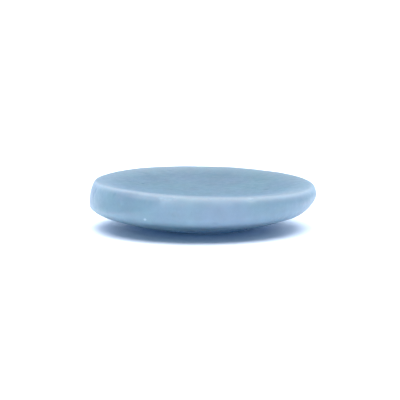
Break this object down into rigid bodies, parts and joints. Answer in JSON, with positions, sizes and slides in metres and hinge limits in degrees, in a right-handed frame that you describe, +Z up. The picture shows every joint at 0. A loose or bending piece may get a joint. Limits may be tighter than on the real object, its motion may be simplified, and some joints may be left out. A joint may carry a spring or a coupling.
{
  "type": "air stone",
  "caption": "Dished round mineral air diffuser with a rounded rim, a closed base plate, a suction cup underneath and a barbed hose inlet at the rear.",
  "frame": {"origin": "centre of the suction cup's flat lip, on the surface that the stone stands on", "axes": "+Z up, out of the dish; +Y along the hose nozzle, towards the rear; +X to the right when seen from the front"},
  "size_m": [0.0998, 0.111, 0.0213],
  "materials": {
    "mineral": "matte",
    "moulded_plate": "satin",
    "seal": "matte",
    "epoxy": "gloss",
    "coated_steel": "satin",
    "spring_steel": "satin",
    "moulded_nozzle": "satin",
    "cup_pvc": "gloss"
  },
  "bodies": {
    "root": {"diffuser_stone": "mineral", "base_plate": "moulded_plate", "plate_gasket": "seal", "bond_bead": "epoxy", "ballast_ring": "coated_steel", "push_nut_1": "spring_steel", "push_nut_2": "spring_steel", "push_nut_3": "spring_steel", "hose_nozzle": "moulded_nozzle", "nozzle_washer": "seal", "nozzle_bond": "epoxy", "suction_cup": "cup_pvc"}
  },
  "joints": []
}
